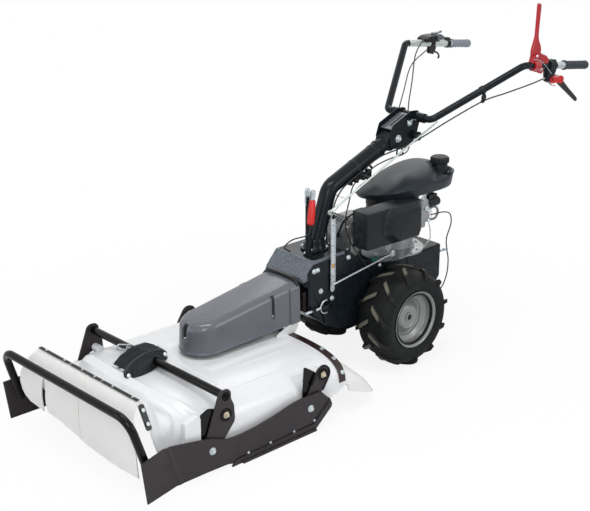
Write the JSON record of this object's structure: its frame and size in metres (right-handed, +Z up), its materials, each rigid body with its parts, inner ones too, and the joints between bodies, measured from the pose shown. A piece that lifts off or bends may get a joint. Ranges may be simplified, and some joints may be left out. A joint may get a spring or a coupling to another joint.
{
  "type": "hammer knife mower",
  "caption": "Walk-behind two-wheel tractor with a wide low mower deck in front: belt cover, skids, front bar, rubber flaps, petrol engine, tall column and two handlebars",
  "frame": {"origin": "on the ground, under the middle of the machine's outline", "axes": "+Z up, -Y the way it drives, +X the machine's left side"},
  "size_m": [0.846, 2.5085, 1.4083],
  "materials": {
    "light_grey_paint": "gloss",
    "gloss_black_paint": "gloss",
    "brown_black_paint": "satin",
    "blue_black_paint": "semi-gloss",
    "hammered_paint": "hammered gloss",
    "cover_plastic": "satin",
    "black_plastic": "satin",
    "tank_plastic": "satin",
    "flap_rubber": "satin",
    "tyre_rubber": "matte",
    "grip_rubber": "matte",
    "belt_rubber": "matte",
    "rim_paint": "satin silver",
    "zinc": "zinc plated",
    "steel": "machined",
    "cast_aluminium": "cast",
    "red_paint": "gloss",
    "red_plastic": "gloss",
    "cable_plastic": "satin"
  },
  "bodies": {
    "chassis": {"chassis_frame": "blue_black_paint", "gearbox_housing": "blue_black_paint", "front_cover": "hammered_paint", "engine_crankcase": "cast_aluminium", "muffler_box": "black_plastic", "fuel_tank": "tank_plastic", "carburettor": "cast_aluminium", "throttle_cable": "cable_plastic"},
    "wheels": {"wheel_axle": "steel", "left_rim": "rim_paint", "right_rim": "rim_paint", "left_tyre": "tyre_rubber", "right_tyre": "tyre_rubber"},
    "power_shaft": {"pto_shaft": "steel"},
    "mower": {"mower_deck": "light_grey_paint", "bevel_gearbox": "cast_aluminium", "spindle_housing": "cast_aluminium", "drive_belt": "belt_rubber", "belt_cover": "cover_plastic", "front_flap": "flap_rubber", "front_strip": "light_grey_paint", "rear_strip": "gloss_black_paint", "rear_flap": "flap_rubber", "height_latch": "black_plastic"},
    "drive_pulley": {"drive_pulley": "steel"},
    "rotor": {"rotor_spindle": "steel", "knife_rotor": "steel"},
    "left_knife": {"left_knife": "steel"},
    "right_knife": {"right_knife": "steel"},
    "lift_frame": {"lift_frame": "brown_black_paint"},
    "skids": {"left_skid": "brown_black_paint", "right_skid": "brown_black_paint", "front_bar": "gloss_black_paint"},
    "rear_arms": {"left_rear_arm": "brown_black_paint", "right_rear_arm": "brown_black_paint"},
    "latch_lever": {"latch_lever": "zinc"},
    "hitch_latch": {"hitch_latch": "zinc"},
    "column": {"handlebar_column": "blue_black_paint", "lever_cable": "cable_plastic", "swivel_cable": "cable_plastic"},
    "handlebar": {"handlebar_head": "blue_black_paint", "left_handlebar": "blue_black_paint", "right_handlebar": "blue_black_paint", "left_grip": "grip_rubber", "right_grip": "grip_rubber", "clutch_bracket": "red_paint", "lever_perch": "black_plastic", "throttle_box": "black_plastic", "right_cable": "cable_plastic"},
    "clamp_knob": {"clamp_knob": "black_plastic"},
    "clamp_handle": {"clamp_handle": "gloss_black_paint"},
    "clutch_lever": {"clutch_lever": "red_plastic"},
    "brake_lever": {"brake_lever": "red_plastic"},
    "right_lever": {"right_lever": "black_plastic"},
    "throttle_lever": {"throttle_lever": "black_plastic"},
    "swivel_lever": {"swivel_lever": "red_plastic"},
    "linkage_bar": {"linkage_bar": "zinc"},
    "linkage_rod": {"linkage_rod": "zinc"},
    "shift_rod": {"shift_rod": "zinc"},
    "fuel_cap": {"fuel_cap": "black_plastic"}
  },
  "joints": [
    {"name": "wheel_spin", "type": "hinge", "parent": "chassis", "child": "wheels", "pos_m": [0, 0.2585, 0.204], "axis": [1, 0, 0], "continuous": true},
    {"name": "power_spin", "type": "hinge", "parent": "chassis", "child": "power_shaft", "pos_m": [0, 0.1585, 0.352], "axis": [0, 1, 0], "continuous": true},
    {"name": "mower_roll", "type": "hinge", "parent": "chassis", "child": "mower", "pos_m": [0, -0.2035, 0.352], "axis": [0, 1, 0], "range_deg": [-6, 6]},
    {"name": "drive_spin", "type": "hinge", "parent": "mower", "child": "drive_pulley", "pos_m": [0, -0.3465, 0.297], "axis": [0, 0, 1], "continuous": true},
    {"name": "rotor_spin", "type": "hinge", "parent": "mower", "child": "rotor", "pos_m": [0, -0.6215, 0.112], "axis": [0, 0, 1], "continuous": true},
    {"name": "left_knife_swing", "type": "hinge", "parent": "rotor", "child": "left_knife", "pos_m": [0.255, -0.6215, 0.105], "axis": [0, 0, 1], "range_deg": [-90, 90]},
    {"name": "right_knife_swing", "type": "hinge", "parent": "rotor", "child": "right_knife", "pos_m": [-0.255, -0.6215, 0.105], "axis": [0, 0, 1], "range_deg": [-90, 90]},
    {"name": "height_lift", "type": "hinge", "parent": "mower", "child": "lift_frame", "pos_m": [0, -0.8415, 0.206], "axis": [1, 0, 0], "range_deg": [-20, 15]},
    {"name": "skid_level", "type": "hinge", "parent": "lift_frame", "child": "skids", "pos_m": [0, -0.9135, 0.096], "axis": [1, 0, 0], "range_deg": [-15, 20]},
    {"name": "rear_arm_lift", "type": "hinge", "parent": "mower", "child": "rear_arms", "pos_m": [0, -0.3755, 0.206], "axis": [1, 0, 0], "range_deg": [-20, 15]},
    {"name": "latch_lever_turn", "type": "hinge", "parent": "mower", "child": "latch_lever", "pos_m": [-0.122, -0.8715, 0.3], "axis": [1, 0, 0], "range_deg": [0, 40], "stiffness_Nm_per_rad": 0.6},
    {"name": "hitch_latch_pull", "type": "slide", "parent": "chassis", "child": "hitch_latch", "axis": [0, 1, 0], "range_m": [0, 0.02], "stiffness_N_per_m": 400},
    {"name": "column_swivel", "type": "hinge", "parent": "chassis", "child": "column", "pos_m": [0, -0.0415, 0.512], "axis": [0, 0, 1], "range_deg": [-20, 20], "deforming": ["lever_cable", "throttle_cable", "swivel_cable"]},
    {"name": "bar_tilt", "type": "hinge", "parent": "column", "child": "handlebar", "pos_m": [0, 0.3885, 0.886], "axis": [1, 0, 0], "range_deg": [-10, 20], "deforming": ["lever_cable", "throttle_cable"]},
    {"name": "clamp_knob_turn", "type": "hinge", "parent": "handlebar", "child": "clamp_knob", "pos_m": [0.039, 0.4865, 0.882], "axis": [1, 0, 0], "range_deg": [0, 180]},
    {"name": "clamp_handle_swing", "type": "hinge", "parent": "handlebar", "child": "clamp_handle", "pos_m": [0, 0.4405, 0.852], "axis": [1, 0, 0], "range_deg": [-30, 30]},
    {"name": "clutch_lever_fold", "type": "hinge", "parent": "handlebar", "child": "clutch_lever", "pos_m": [0.322, 0.8905, 1.19627], "axis": [1, 0, 0], "range_deg": [-70, 0], "stiffness_Nm_per_rad": 2},
    {"name": "brake_lever_pull", "type": "hinge", "parent": "handlebar", "child": "brake_lever", "pos_m": [0.322, 0.9975, 1.08434], "axis": [1, 0, 0], "range_deg": [0, 25], "stiffness_Nm_per_rad": 2},
    {"name": "right_lever_pull", "type": "hinge", "parent": "handlebar", "child": "right_lever", "pos_m": [-0.322, 0.9975, 1.10234], "axis": [1, 0, 0], "range_deg": [0, 20], "stiffness_Nm_per_rad": 1},
    {"name": "throttle_turn", "type": "hinge", "parent": "handlebar", "child": "throttle_lever", "pos_m": [-0.322, 1.0035, 1.18284], "axis": [0, 0, 1], "range_deg": [-30, 30]},
    {"name": "swivel_lever_pull", "type": "hinge", "parent": "column", "child": "swivel_lever", "pos_m": [0.064, -0.1135, 0.772], "axis": [1, 0, 0], "range_deg": [-35, 0], "stiffness_Nm_per_rad": 2, "deforming": ["swivel_cable"]},
    {"name": "linkage_turn", "type": "hinge", "parent": "chassis", "child": "linkage_bar", "pos_m": [0.1205, -0.0575, 0.474], "axis": [1, 0, 0], "range_deg": [-8, 8]},
    {"name": "linkage_rod_push", "type": "slide", "parent": "chassis", "child": "linkage_rod", "axis": [0, 1, 0], "range_m": [-0.012, 0.012]},
    {"name": "shift_rod_push", "type": "slide", "parent": "column", "child": "shift_rod", "axis": [0, 0.9196, 0.3928], "range_m": [-0.028, 0.028]},
    {"name": "fuel_cap_turn", "type": "hinge", "parent": "chassis", "child": "fuel_cap", "pos_m": [0.09, 0.5935, 0.757], "axis": [0, 0, 1], "range_deg": [0, 120]}
  ],
  "couplings": [
    {"joint": "drive_spin", "follows": "power_spin", "ratio": 1},
    {"joint": "rotor_spin", "follows": "power_spin", "ratio": 0.6029},
    {"joint": "skid_level", "follows": "height_lift", "ratio": -1},
    {"joint": "rear_arm_lift", "follows": "height_lift", "ratio": 1},
    {"joint": "linkage_rod_push", "follows": "linkage_turn", "m_per_rad": 0.082},
    {"joint": "shift_rod_push", "follows": "linkage_turn", "m_per_rad": -0.19}
  ]
}
